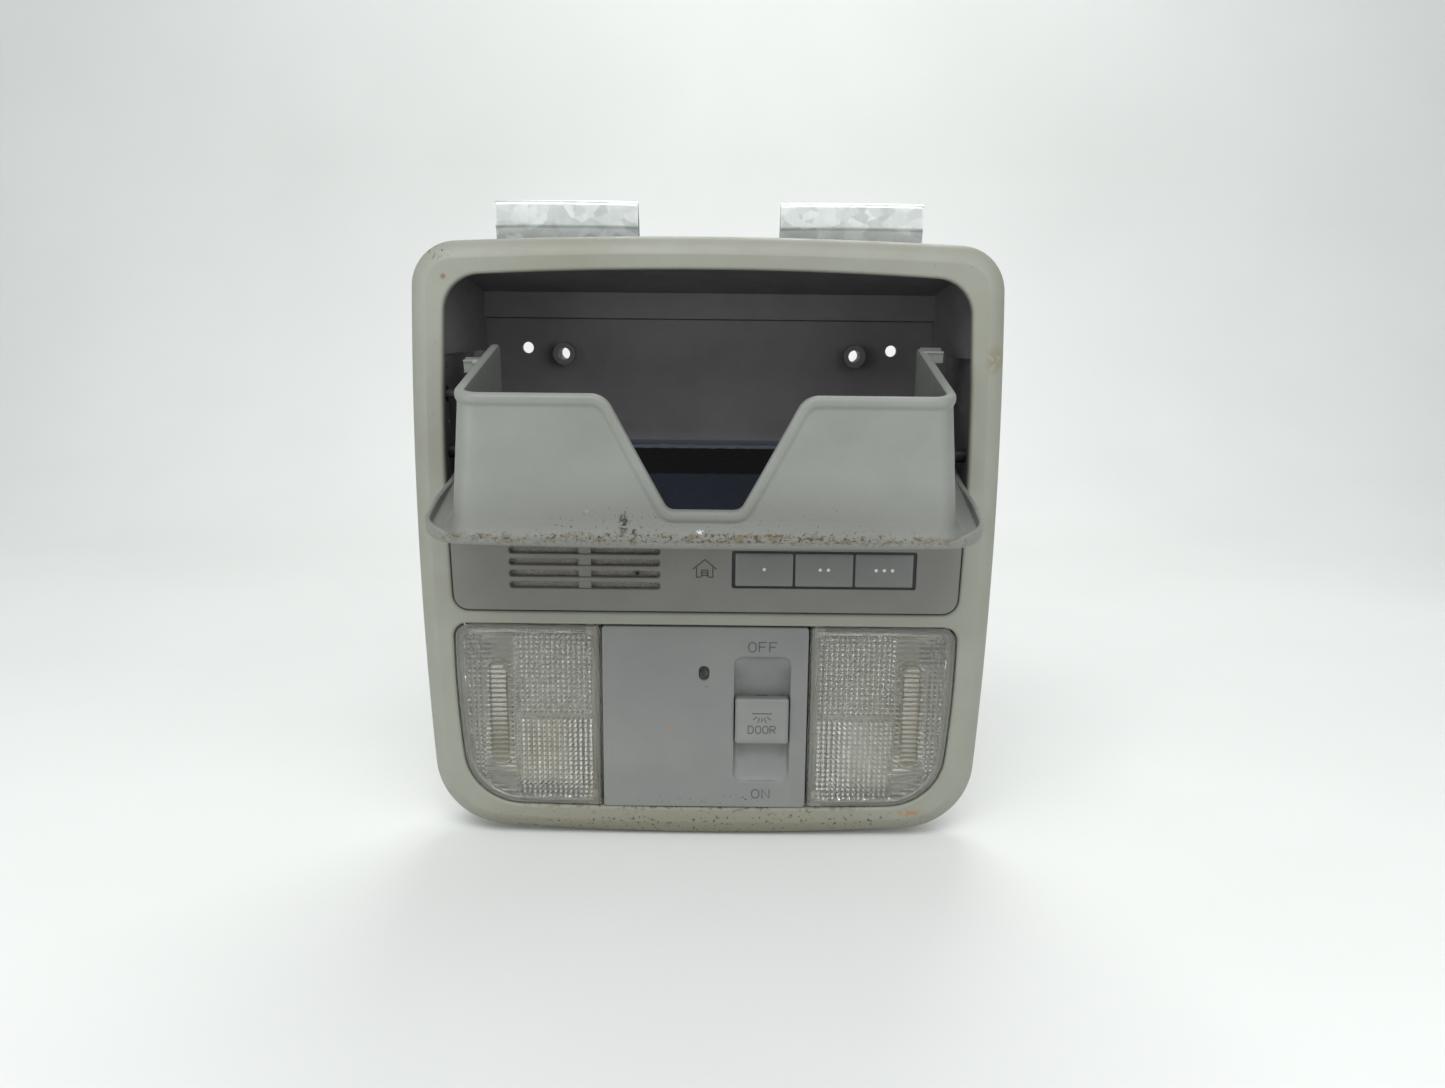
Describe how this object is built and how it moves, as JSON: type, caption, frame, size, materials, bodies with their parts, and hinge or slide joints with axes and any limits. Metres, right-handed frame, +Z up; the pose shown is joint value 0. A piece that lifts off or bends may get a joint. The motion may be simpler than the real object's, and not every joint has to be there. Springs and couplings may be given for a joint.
{
  "type": "garage door opener overhead console",
  "caption": "Vehicle overhead console with garage-door remote buttons, drop-down glasses holder, two push-on map lights and a dome-lamp slide switch.",
  "frame": {"origin": "midway between the two roof-screw holes, on the plane where their tubes meet the roof", "axes": "+X across the face to the right as a viewer sees it, +Y from the face towards the roof, +Z up the face from the lamps to the glasses holder"},
  "size_m": [0.2058, 0.108, 0.2304],
  "materials": {
    "bezel_plastic": "fine-grained satin",
    "bay_plastic": "grained matte",
    "door_plastic": "smooth satin",
    "felt": "needled felt",
    "pin_steel": "bright",
    "nylon": "natural nylon",
    "black_plastic": "satin",
    "spring_steel": "drawn wire",
    "panel_plastic": "fine-grained satin",
    "mesh": "woven mesh",
    "can_metal": "satin",
    "button_plastic": "satin",
    "membrane": "matte",
    "board": "solder mask",
    "centre_plastic": "smooth satin",
    "knob_plastic": "satin",
    "clear_lens": "clear prismatic",
    "light_pipe": "clear",
    "reflector": "vacuum metallised",
    "bulb_glass": "clear",
    "ceramic": "matte",
    "housing_plastic": "matte",
    "socket_plastic": "natural",
    "contact_brass": "tinned",
    "galvanised": "galvanised spangle",
    "screw_steel": "zinc plated"
  },
  "bodies": {
    "root": {"bezel": "bezel_plastic", "bay_housing": "bay_plastic", "damper_body": "black_plastic", "damper_screws": "screw_steel", "door_spring": "spring_steel", "door_latch": "black_plastic", "middle_panel": "panel_plastic", "grille_mesh": "mesh", "microphone": "can_metal", "button_frame": "black_plastic", "keypad_membrane": "membrane", "transmitter_board": "board", "radio_module": "can_metal", "transmitter_cover": "black_plastic", "centre_panel": "centre_plastic", "slide_switch": "black_plastic", "lamp_board": "board", "ambient_led": "ceramic", "led_pipe": "light_pipe", "reflector_left": "reflector", "reflector_right": "reflector", "bulb_left": "bulb_glass", "bulb_right": "bulb_glass", "bulb_holders": "ceramic", "map_switches": "black_plastic", "lamp_housing": "housing_plastic", "harness_socket": "socket_plastic", "socket_pins": "contact_brass", "clip_left": "galvanised", "clip_right": "galvanised", "clip_rivets": "screw_steel", "housing_screws": "screw_steel"},
    "door": {"door_panel": "door_plastic", "door_tray": "door_plastic", "felt_pad": "felt", "hinge_pins": "pin_steel", "gear_sector": "nylon"},
    "pinion": {"damper_pinion": "nylon"},
    "first_button": {"button_1": "button_plastic"},
    "second_button": {"button_2": "button_plastic"},
    "third_button": {"button_3": "button_plastic"},
    "knob": {"slide_knob": "knob_plastic"},
    "left_lens": {"lens_left": "clear_lens"},
    "right_lens": {"lens_right": "clear_lens"}
  },
  "joints": [
    {"name": "door_hinge", "type": "hinge", "parent": "root", "child": "door", "pos_m": [0, -0.048, -0.033], "axis": [-1, 0, 0], "range_deg": [0, 102], "stiffness_Nm_per_rad": 0.02},
    {"name": "damper_spin", "type": "hinge", "parent": "root", "child": "pinion", "pos_m": [-0.0836, -0.048, -0.013], "axis": [-1, 0, 0], "range_deg": [-310, 6]},
    {"name": "first_button_press", "type": "slide", "parent": "root", "child": "first_button", "axis": [0, 1, 0], "range_m": [0, 0.0009], "stiffness_N_per_m": 900},
    {"name": "second_button_press", "type": "slide", "parent": "root", "child": "second_button", "axis": [0, 1, 0], "range_m": [0, 0.0009], "stiffness_N_per_m": 900},
    {"name": "third_button_press", "type": "slide", "parent": "root", "child": "third_button", "axis": [0, 1, 0], "range_m": [0, 0.0009], "stiffness_N_per_m": 900},
    {"name": "knob_slide", "type": "slide", "parent": "root", "child": "knob", "axis": [0, 0, 1], "range_m": [-0.006, 0.006]},
    {"name": "left_lens_press", "type": "hinge", "parent": "root", "child": "left_lens", "pos_m": [-0.0415, -0.0505, -0.129], "axis": [0, 0, -1], "range_deg": [0, 2.5], "stiffness_Nm_per_rad": 3},
    {"name": "right_lens_press", "type": "hinge", "parent": "root", "child": "right_lens", "pos_m": [0.0415, -0.0505, -0.129], "axis": [0, 0, 1], "range_deg": [0, 2.5], "stiffness_Nm_per_rad": 3}
  ],
  "couplings": [
    {"joint": "damper_spin", "follows": "door_hinge", "ratio": -3}
  ]
}
